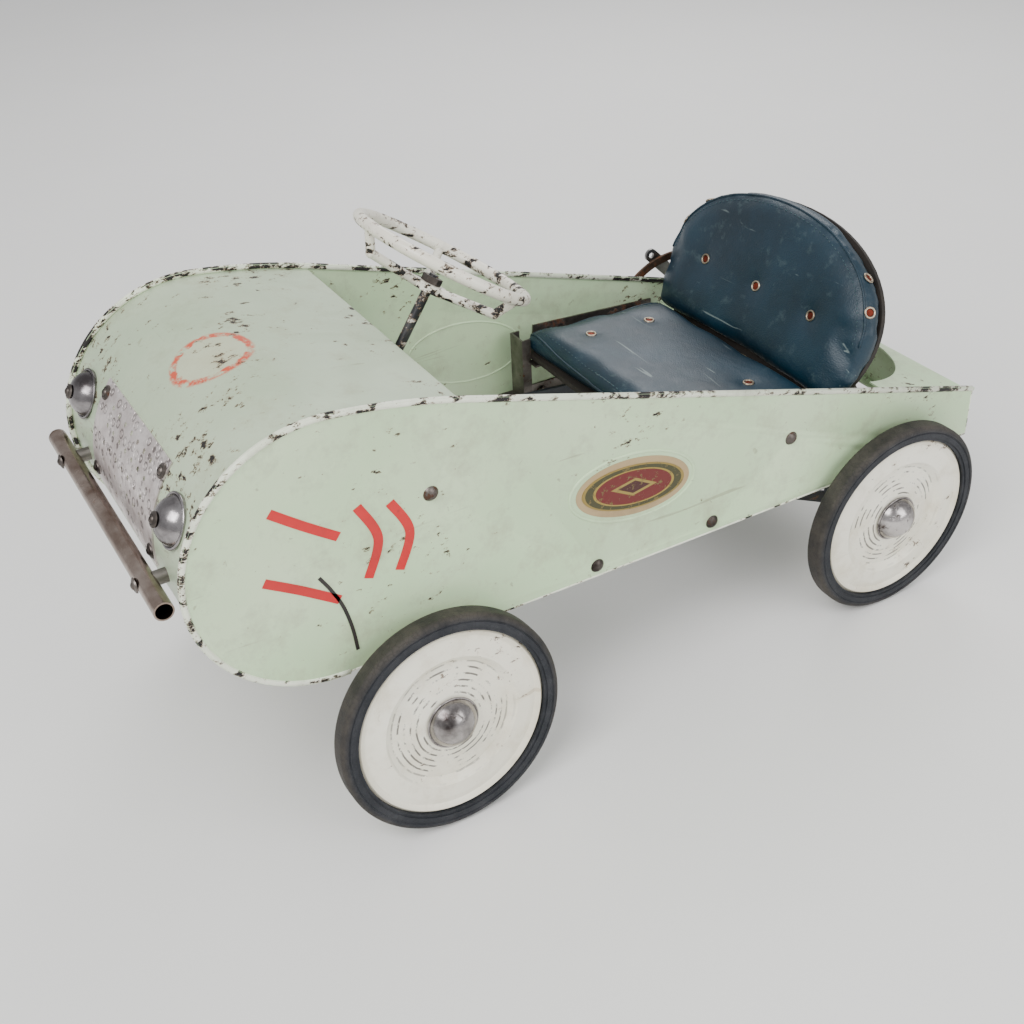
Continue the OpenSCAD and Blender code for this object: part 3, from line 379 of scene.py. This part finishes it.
MINT = dict(dirt="#8b8c6c", bare="#1a1512")
FINISH = {
    "panels": worn_enamel("mint_enamel_panels", "#bfdbae", "#cfe2bd", chips=0.74, dents=3, **MINT),
    "hood": worn_enamel("mint_enamel_hood", "#a9ba9c", "#bccaae", chips=0.92, extra=hood_ring, dents=14, **MINT),
    "bead": worn_enamel("white_edge_enamel", "#eef1df", "#dfe6cd", "#8f8b78", "#15110f", 1.5, 0.4),
    "ring": worn_enamel("white_ring_enamel", "#f0eddf", "#e2dccb", "#7d7568", "#141110", 1.25, 0.32),
    "column": worn_enamel("black_column_enamel", "#1c1c20", "#28282c", "#6d6b66", "#cfcabf", 1.2, 0.35),
    "hollow": worn_metal("rusty_hollow", "#8a4030", "#5c2a20", "#3a1a14", 0.5, 0.6),
    "front_discs": wheel_enamel("cream_enamel_front", FRONT_AXLE),
    "rear_discs": wheel_enamel("cream_enamel_rear", REAR_AXLE),
    "front_tyres": old_rubber("old_rubber_front", FRONT_AXLE),
    "rear_tyres": old_rubber("old_rubber_rear", REAR_AXLE),
    "cap": worn_metal("worn_cap_chrome", "#c4bfbd", "#3f3837", "#2c211b", 0.6, 0.2),
    "lamp": worn_metal("worn_lamp_chrome", "#aaa6a6", "#4d4849", "#35271f", 0.4, 0.2),
    "bumper": worn_metal("worn_bumper_chrome", "#a89a90", "#6a5548", "#4a3020", 0.5, 0.2, (0.1, 1, 1)),
    "grille": dimpled_aluminium(),
    "frame": worn_metal("oxidised_steel", "#8d8882", "#5a5450", "#5b3a26", 0.6, 0.45),
    "strap": worn_metal("rusty_steel", "#6a5648", "#46352b", "#5f3820", 0.95, 0.6),
    "lever": worn_metal("grey_lever_steel", "#9b9a98", "#6f6d6b", "#5a4636", 0.35, 0.4, (1, 0.4, 0.4)),
    "brass": worn_metal("dull_brass", "#b08f4e", "#7c6231", "#3d3020", 0.3, 0.35),
    "screws": worn_metal("dark_screw_steel", "#77706b", "#3a3431", "#4a2f1f", 0.55, 0.4),
    "eyelets": worn_metal("dull_eyelet_nickel", "#c4b6a2", "#8f8270", "#6a4a35", 0.35, 0.35),
    "black": worn_enamel("blue_black_enamel", "#22262e", "#30343c", "#4d4a46", "#6b5142", 0.95, 0.4),
    "pedal": old_rubber("pedal_rubber"),
    "vinyl": seat_vinyl(),
    "plywood": seat_plywood(),
    "badge": badge_enamel(),
    "transfer": worn_enamel("red_transfer", "#d01018", "#c01a1c", "#8c2a24", "#c9d6b2", 0.35, 0.45),
    "glue": worn_enamel("old_glue", "#b29a72", "#a28a64", "#7d6a4c", "#c9d6c2", 0.5, 0.6),
    "scar": worn_enamel("black_scar", "#1f1c1b", "#2a2624", "#3b302a", "#15110f", 0.5, 0.6),
    "thread": worn_enamel("seat_thread", "#3c565c", "#2c444b", "#1c2c31", "#16262c", 0.1, 0.7),
}

NODE_FINISH = {
    "hood": "hood", "rear_deck": "panels", "tail_panel": "panels", "side_panel_left": "panels",
    "side_panel_right": "panels", "grille": "grille", "front_screws": "screws", "side_bolts": "screws",
    "hub_nut": "screws", "lamps": "lamp", "bumper": "bumper", "axle_bushes": "brass", "seat_board": "plywood",
    "back_board": "plywood", "badges": "badge", "brake_quadrant": "strap", "steering_wheel": "ring",
    "front_disc_left": "front_discs", "front_disc_right": "front_discs", "rear_discs": "rear_discs",
    "front_tyre_left": "front_tyres", "front_tyre_right": "front_tyres", "rear_tyres": "rear_tyres",
    "front_cap_left": "cap", "front_cap_right": "cap", "rear_caps": "cap", "kingpins": "black",
    "steering_column": "column", "stub_axle_left": "black", "stub_axle_right": "black", "crank_axle": "black",
    "drive_rod_left": "black", "drive_rod_right": "black", "pedal_pad_left": "pedal", "pedal_pad_right": "pedal",
    "brake_shoe": "pedal", "brake_lever": "lever",
}
for name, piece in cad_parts.items():
    piece.data.materials.clear()
    piece.data.materials.append(FINISH[NODE_FINISH.get(name, "frame")])


# ---- Making pieces ----

def new_piece(name, mesh, finish, body, node=None):
    """Puts a mesh in the scene as a finished piece that rides on a body."""
    piece = bpy.data.objects.new(name, mesh)
    bpy.context.scene.collection.objects.link(piece)
    mesh.materials.clear()
    mesh.materials.append(FINISH[finish])
    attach(piece, body)
    if node:
        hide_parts(node)
    return piece


def mesh_from(name, shape, smooth=True):
    """A mesh from a finished bmesh, with its faces turned outwards."""
    bmesh.ops.recalc_face_normals(shape, faces=shape.faces)
    mesh = bpy.data.meshes.new(name)
    shape.to_mesh(mesh)
    shape.free()
    mesh.polygons.foreach_set("use_smooth", [smooth] * len(mesh.polygons))
    return mesh


def softened(node, finish, body, width):
    """The CAD piece again with its sharp edges rounded, as pressed or rolled metal has them."""
    shape = bmesh.new()
    shape.from_mesh(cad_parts[node].data)
    bmesh.ops.remove_doubles(shape, verts=shape.verts, dist=1e-6)
    bmesh.ops.dissolve_limit(shape, angle_limit=math.radians(0.5), verts=shape.verts, edges=shape.edges)
    piece = new_piece("soft_" + node, mesh_from("soft_" + node, shape), finish, body, node)
    bevel = piece.modifiers.new("rounded_edges", "BEVEL")
    bevel.width, bevel.segments, bevel.limit_method = width, 3, "ANGLE"
    bevel.angle_limit = math.radians(35)
    bevel.harden_normals = True
    return piece


def tube(name, points, radius, finish, body, closed=False, sides=10):
    """A round rod through points, made by carrying a circle along them."""
    shape = bmesh.new()
    loops = []
    count = len(points)
    for i, point in enumerate(points):
        back = points[(i - 1) % count] if closed or i else point
        ahead = points[(i + 1) % count] if closed or i < count - 1 else point
        turn = (ahead - back).to_track_quat("Z", "X").to_matrix().to_4x4()
        made = bmesh.ops.create_circle(shape, cap_ends=False, radius=radius, segments=sides,
                                       matrix=Matrix.Translation(point) @ turn)
        loops.append(made["verts"])
    for i in range(count if closed else count - 1):
        edges = {e for v in loops[i] + loops[(i + 1) % count] for e in v.link_edges
                 if (e.verts[0] in loops[i] and e.verts[1] in loops[i])
                 or (e.verts[0] in loops[(i + 1) % count] and e.verts[1] in loops[(i + 1) % count])}
        bmesh.ops.bridge_loops(shape, edges=list(edges))
    if not closed:
        bmesh.ops.contextual_create(shape, geom=loops[0])
        bmesh.ops.contextual_create(shape, geom=loops[-1])
    return new_piece(name, mesh_from(name, shape), finish, body)


# ---- Body: rolled edges, badge surrounds and marks ----

for side in ("left", "right"):
    softened("side_panel_" + side, "panels", "body", 0.45 * MM)

# The panel's outline in millimetres: the nose's centre and radius, the crown's radius and the angles
# between which it runs, and the two corners of the tail.
NOSE, NOSE_R, CROWN_R = (-68, 280), 118, 580
CROWN_START, RIM_ANGLE = 6.1, 17
TAIL, TAIL_LOW = (622, 201.1), (622, 149)


def swing(centre, radius, angle):
    """A point of the side view round a centre, by its angle from upright towards the rear."""
    a = math.radians(angle)
    return centre[0] + radius * math.sin(a), centre[1] + radius * math.cos(a)


CROWN = swing(NOSE, NOSE_R - CROWN_R, CROWN_START)
ROLLED_EDGE = ([swing(NOSE, NOSE_R, a) for a in range(-180, 6, 4)]
               + [swing(CROWN, CROWN_R, CROWN_START + (RIM_ANGLE - CROWN_START) * i / 8) for i in range(9)]
               + [TAIL])
FOLDED_EDGE = [(NOSE[0], NOSE[1] - NOSE_R), TAIL_LOW, TAIL]
for side, sign in (("left", 1), ("right", -1)):
    tube("rolled_edge_" + side, [on_car(sign * 149.8, *p) for p in ROLLED_EDGE], 2.9 * MM, "bead", "body",
         sides=14)
    tube("folded_edge_" + side, [on_car(sign * 150.2, *p) for p in FOLDED_EDGE], 1.3 * MM, "bead", "body")


def oval_ring(name, x, half_long, half_high, radius, finish):
    """A bead round the badge, tilted as the badge is."""
    points = []
    for i in range(96):
        a = 2 * math.pi * i / 96
        along, up = half_long * math.cos(a), half_high * math.sin(a)
        points.append(Vector((x, BADGE.y + along * math.cos(BADGE_TILT) + up * math.sin(BADGE_TILT),
                              BADGE.z - along * math.sin(BADGE_TILT) + up * math.cos(BADGE_TILT))))
    return tube(name, points, radius, finish, "body", closed=True)


for side, sign in (("left", 1), ("right", -1)):
    oval_ring("pressed_ridge_" + side, sign * (PANEL_FACE - 0.6 * MM), 66 * MM, 33 * MM, 1.7 * MM, "panels")
    shape = bmesh.new()
    bmesh.ops.create_circle(shape, cap_ends=True, radius=1, segments=72,
                            matrix=Matrix.Translation((sign * (PANEL_FACE + 0.25 * MM), BADGE.y, BADGE.z))
                            @ Matrix.Rotation(-BADGE_TILT, 4, "X")
                            @ Matrix.Diagonal((1, 60 * MM, 28.5 * MM, 1)) @ Matrix.Rotation(math.pi / 2, 4, "Y"))
    bmesh.ops.solidify(shape, geom=shape.faces, thickness=0.2 * MM)
    new_piece("glue_patch_" + side, mesh_from("glue_patch_" + side, shape, False), "glue", "body")


STROKE_STEPS = 10
STROKE_FACE = PANEL_FACE + 0.5 * MM


def ribbon(name, points, width, finish):
    """A thin flat stroke lying on the left panel, its path smoothed between the points."""
    path = []
    for i in range(len(points) - 1):
        before, a = Vector(points[max(i - 1, 0)]), Vector(points[i])
        b, after = Vector(points[i + 1]), Vector(points[min(i + 2, len(points) - 1)])
        for step in range(STROKE_STEPS + (i == len(points) - 2)):
            u = step / STROKE_STEPS
            path.append(0.5 * (2 * a + (b - before) * u + (2 * before - 5 * a + 4 * b - after) * u ** 2
                               + (3 * a - before - 3 * b + after) * u ** 3))
    shape = bmesh.new()
    edge = None
    for i, point in enumerate(path):
        run = (path[min(i + 1, len(path) - 1)] - path[max(i - 1, 0)]).normalized()
        side = Vector((-run.y, run.x)) * width / 2
        ends = [on_car(0, *(point + side)), on_car(0, *(point - side))]
        if edge is None:
            edge = shape.edges.new([shape.verts.new(e) for e in ends])
            for v in edge.verts:
                v.co.x = STROKE_FACE
            continue
        grown = bmesh.ops.extrude_edge_only(shape, edges=[edge])["geom"]
        old = list(edge.verts)
        edge = next(g for g in grown if isinstance(g, bmesh.types.BMEdge))
        for v in edge.verts:
            first = min(old, key=lambda o: (o.co - v.co).length)
            v.co = ends[old.index(first)]
            v.co.x = STROKE_FACE
    bmesh.ops.recalc_face_normals(shape, faces=shape.faces)
    bmesh.ops.solidify(shape, geom=shape.faces, thickness=0.4 * MM)
    return new_piece(name, mesh_from(name, shape, False), finish, "body")


ribbon("red_mark_upper", [(-112, 334), (-88, 314), (-62, 294)], 8, "transfer")
ribbon("red_mark_lower", [(-125, 276), (-98, 258), (-68, 236)], 8, "transfer")
ribbon("red_mark_front_bow", [(-44, 314), (-30, 280), (-42, 246)], 8, "transfer")
ribbon("red_mark_rear_bow", [(-17, 308), (-3, 276), (-15, 243)], 8, "transfer")
ribbon("black_scrape", [(-82, 263), (-74, 248), (-66, 228), (-61, 204), (-59, 181)], 3, "scar")


# ---- Seat: padded vinyl over boards ----

SEAT_SLOPE, BACK_LEAN = math.radians(4.3), math.radians(25)
SEAT_BACK = Vector((0, math.cos(SEAT_SLOPE), -math.sin(SEAT_SLOPE)))
SEAT_UP = Vector((0, math.sin(SEAT_SLOPE), math.cos(SEAT_SLOPE)))
BACK_OUT = Vector((0, -math.cos(BACK_LEAN), math.sin(BACK_LEAN)))
BACK_UP = Vector((0, math.sin(BACK_LEAN), math.cos(BACK_LEAN)))


def seat_point(x, along):
    """A place on the seat's face, in millimetres across and back from its front edge."""
    return on_car(x, 267, 255) + SEAT_BACK * along * MM


CREASE = seat_point(0, 175)


def back_point(x, up, deep=0):
    """A place on the backrest's face, in millimetres across, up from the crease and into the pad."""
    return CREASE + Vector((x * MM, 0, 0)) + BACK_UP * up * MM - BACK_OUT * deep * MM


CLOTH_FRAMES = 20
SMOOTHING_PASSES = 8
TUCK_HEIGHT = 30 * MM


def padded(node, name, inset, cap, pressure, tufts, depth, out, tuck=0.0):
    """Blows a copy of the plain pad up like a stuffed cushion, each point by at most the cap. The inset
    is how far its skin starts inside the plain pad, and a tuck draws the foot of a backrest up."""
    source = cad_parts[node]
    shape = bmesh.new()
    shape.from_mesh(source.data)
    bmesh.ops.remove_doubles(shape, verts=shape.verts, dist=1e-6)
    mesh = mesh_from(name, shape)
    piece = new_piece(name, mesh, "vinyl", "body", node)
    bpy.context.view_layer.objects.active = piece
    remesh = piece.modifiers.new("even_mesh", "REMESH")
    remesh.mode, remesh.voxel_size = "VOXEL", 4.5 * MM
    depsgraph = bpy.context.evaluated_depsgraph_get()
    even = bpy.data.meshes.new_from_object(piece.evaluated_get(depsgraph))
    piece.modifiers.clear()
    piece.data = even
    normals = [v.normal.copy() for v in even.vertices]
    for vertex, normal in zip(even.vertices, normals):
        vertex.co -= normal * inset
        low = TUCK_HEIGHT - (vertex.co - CREASE).dot(BACK_UP)
        if tuck and low > 0:
            vertex.co -= BACK_UP * tuck * min(low / TUCK_HEIGHT, 1)
    rest = [v.co.copy() for v in even.vertices]
    cloth = piece.modifiers.new("stuffing", "CLOTH")
    cloth.settings.quality = 6
    cloth.settings.use_pressure = True
    cloth.settings.uniform_pressure_force = pressure
    cloth.settings.effector_weights.gravity = 0
    cloth.settings.tension_stiffness = cloth.settings.compression_stiffness = 25
    cloth.settings.bending_stiffness = 0.6
    for step in range(CLOTH_FRAMES):
        bpy.context.scene.frame_set(step + 1)
    depsgraph = bpy.context.evaluated_depsgraph_get()
    blown = bpy.data.meshes.new_from_object(piece.evaluated_get(depsgraph))
    piece.modifiers.clear()
    for vertex, puffed, start in zip(even.vertices, blown.vertices, rest):
        move = puffed.co - start
        vertex.co = start + (move.normalized() * min(move.length, cap) if move.length else move)
    bpy.context.scene.frame_set(1)
    shape = bmesh.new()
    shape.from_mesh(even)
    for _ in range(SMOOTHING_PASSES):
        bmesh.ops.smooth_vert(shape, verts=shape.verts, factor=0.5, use_axis_x=True, use_axis_y=True, use_axis_z=True)
    shape.to_mesh(even)
    shape.free()
    for place in tufts:
        for vertex in even.vertices:
            near = (vertex.co - place).length
            if near < 60 * MM:
                pit = 0.7 * math.exp(-(near / (10 * MM)) ** 2) + 0.3 * math.exp(-(near / (30 * MM)) ** 2)
                vertex.co -= out * depth * pit
    even.materials.clear()
    even.materials.append(FINISH["vinyl"])
    for polygon in even.polygons:
        polygon.use_smooth = True
    smooth = piece.modifiers.new("smooth", "SUBSURF")
    smooth.levels = smooth.render_levels = 1
    return piece


def skin_of(piece):
    """The pad's finished surface, for laying things on it."""
    piece.data.update()
    bpy.context.view_layer.update()
    depsgraph = bpy.context.evaluated_depsgraph_get()
    shown = piece.evaluated_get(depsgraph).data
    return BVHTree.FromPolygons([v.co.copy() for v in shown.vertices], [tuple(p.vertices) for p in shown.polygons])


TUFT_X = 81
SEAT_TUFTS = [seat_point(x, along) for x in (-TUFT_X, TUFT_X) for along in (52, 124)]
BACK_TUFTS = [back_point(x, 61) for x in (-TUFT_X, 0, TUFT_X)]
SEAT_PAD = padded("seat_cushion", "seat_pad", -0.8 * MM, 6 * MM, 3.0, SEAT_TUFTS, 4.5 * MM, SEAT_UP)
BACK_PAD = padded("back_cushion", "back_pad", -2.2 * MM, 8 * MM, 3.5, BACK_TUFTS, 8.5 * MM, BACK_OUT, 9 * MM)
SEAT_SKIN, BACK_SKIN = skin_of(SEAT_PAD), skin_of(BACK_PAD)


def lay(skin, point, out, lift=0.0):
    """The place on a pad's face below a point held off it."""
    hit, normal, _, _ = skin.ray_cast(point + out * 0.08, -out)
    return (hit + normal * lift, normal) if hit else (None, None)


def buttons(name, spots):
    """Pressed nickel eyelets with a rusty hollow, each seated on the vinyl."""
    shape, centres = bmesh.new(), bmesh.new()
    for skin, point, out in spots:
        place, normal = lay(skin, point, out)
        if place is None:
            continue
        seat = Matrix.Translation(place) @ normal.to_track_quat("Z", "Y").to_matrix().to_4x4()
        rim = bmesh.ops.create_circle(shape, cap_ends=False, radius=1.1 * MM, segments=10,
                                      matrix=seat @ Matrix.Translation((4.6 * MM, 0, 0.6 * MM))
                                      @ Matrix.Rotation(math.pi / 2, 4, "X"))["verts"]
        edges = list({e for v in rim for e in v.link_edges})
        bmesh.ops.spin(shape, geom=rim + edges, cent=place, axis=normal, angle=2 * math.pi, steps=28, use_merge=True)
        bmesh.ops.create_cone(centres, cap_ends=True, segments=24, radius1=4.4 * MM, radius2=3.0 * MM, depth=1.0 * MM,
                              matrix=seat @ Matrix.Translation((0, 0, 0.2 * MM)))
    new_piece(name, mesh_from(name, shape), "eyelets", "body", "eyelets")
    new_piece(name + "_hollows", mesh_from(name + "_hollows", centres, False), "hollow", "body")


buttons("seat_eyelets", [(SEAT_SKIN, tuft, SEAT_UP) for tuft in SEAT_TUFTS]
        + [(BACK_SKIN, tuft, BACK_OUT) for tuft in BACK_TUFTS]
        + [(BACK_SKIN, back_point(sign * 90, up, 10), Vector((sign, 0, 0.4)).normalized())
           for sign in (-1, 1) for up in (70, 104)])


def seam(name, skin, outline, out, radius, finish):
    """Piping laid on the pad along an outline."""
    points = [lay(skin, p, out, 0.2 * MM)[0] for p in outline]
    points = [p for p in points if p is not None]
    return tube(name, points, radius, finish, "body", sides=8)


def stitches(name, skin, outline, out):
    """Short thread stitches, about 5 mm long, along an outline."""
    shape = bmesh.new()
    for start, end in zip(outline[::2], outline[1::2]):
        a, b = lay(skin, start, out, 0.15 * MM)[0], lay(skin, end, out, 0.15 * MM)[0]
        if a is None or b is None or (b - a).length > 0.012:
            continue
        turn = (b - a).to_track_quat("Z", "Y").to_matrix().to_4x4()
        bmesh.ops.create_cone(shape, cap_ends=True, segments=6, radius1=0.45 * MM, radius2=0.45 * MM,
                              depth=(b - a).length * 0.8, matrix=Matrix.Translation((a + b) / 2) @ turn)
    return new_piece(name, mesh_from(name, shape), "thread", "body")


SEAT_HALF, SEAT_DEEP, BACK_HALF, BACK_HIGH, BACK_MID = 128, 168, 150, 97.3, 54.7
ROUNDING = 2 / 2.1


def along_seat(inset, step=3):
    """Points round three sides of the seat, a distance in from its edge."""
    side = SEAT_HALF - inset
    left = [seat_point(side, a) for a in range(SEAT_DEEP, inset, -step)]
    front = [seat_point(x, inset) for x in range(side, -side, -step)]
    right = [seat_point(-side, a) for a in range(inset, SEAT_DEEP, step)]
    return left + front + right


def along_back(inset, steps=60):
    """Points over the rounded top of the backrest, a distance in from its edge."""
    points = []
    for i in range(steps + 1):
        a = math.pi * i / steps
        side = math.copysign(abs(math.cos(a)) ** ROUNDING, math.cos(a))
        points.append(back_point((BACK_HALF - inset) * side, BACK_MID + (BACK_HIGH - inset) * math.sin(a) ** ROUNDING))
    return points


seam("seat_piping", SEAT_SKIN, along_seat(6), SEAT_UP, 1.3 * MM, "vinyl")
stitches("seat_stitches", SEAT_SKIN, along_seat(12), SEAT_UP)
seam("back_piping", BACK_SKIN, along_back(7), BACK_OUT, 1.3 * MM, "vinyl")
stitches("back_stitches", BACK_SKIN, along_back(13, 140), BACK_OUT)


# ---- Floor, light and camera ----

def studio():
    """A pale floor, a soft room and three area lights."""
    material, tree, place = begin("pale_floor")
    soft = add(tree, "ShaderNodeTexNoise", {"Vector": place, "Scale": across(333), "Detail": 3, "Roughness": 0.6})
    colour = add(tree, "ShaderNodeMix", {0: soft, 6: linear("#e9e8e5"), 7: linear("#efeeec")}, data_type="RGBA")
    finish_surface(tree, soft, 0.01 * MM, {"Base Color": colour, "Roughness": 0.75})
    shape = bmesh.new()
    bmesh.ops.create_grid(shape, x_segments=1, y_segments=1, size=14)
    mesh = bpy.data.meshes.new("studio_floor")
    shape.to_mesh(mesh)
    shape.free()
    mesh.materials.append(material)
    floor = bpy.data.objects.new("studio_floor", mesh)
    bpy.context.scene.collection.objects.link(floor)
    world = bpy.data.worlds.new("soft_room")
    bpy.context.scene.world = world
    world.use_nodes = True
    world.node_tree.nodes["Background"].inputs[0].default_value = linear("#f2f3f5")
    world.node_tree.nodes["Background"].inputs[1].default_value = 0.75
    for name, place, size, power in (("key", (0.9, -1.6, 2.2), 1.4, 62), ("fill", (2.2, 0.9, 1.4), 1.6, 30),
                                     ("back", (-1.6, 1.4, 1.9), 1.4, 30)):
        light = bpy.data.lights.new(name, "AREA")
        light.size, light.energy = size, power
        lamp = bpy.data.objects.new(name, light)
        lamp.location = place
        lamp.rotation_euler = (Vector((0, 0, 0.2)) - Vector(place)).to_track_quat("-Z", "Y").to_euler()
        bpy.context.scene.collection.objects.link(lamp)


def camera():
    """The camera, from its place and the directions of its view, its right and its top."""
    forward = Vector((-0.72141526, 0.39744242, -0.56709747))
    right = Vector((0.50793858, 0.86030818, -0.04322304))
    up = -Vector((0.47069992, -0.31923244, -0.82251579))
    data = bpy.data.cameras.new("camera")
    data.sensor_width, data.lens = 36, 46.65
    eye = bpy.data.objects.new("camera", data)
    turn = Matrix((right, up, -forward)).transposed().to_4x4()
    eye.matrix_world = Matrix.Translation((0.9334, -0.5500, 0.8730)) @ turn
    bpy.context.scene.collection.objects.link(eye)
    bpy.context.scene.camera = eye


studio()
camera()
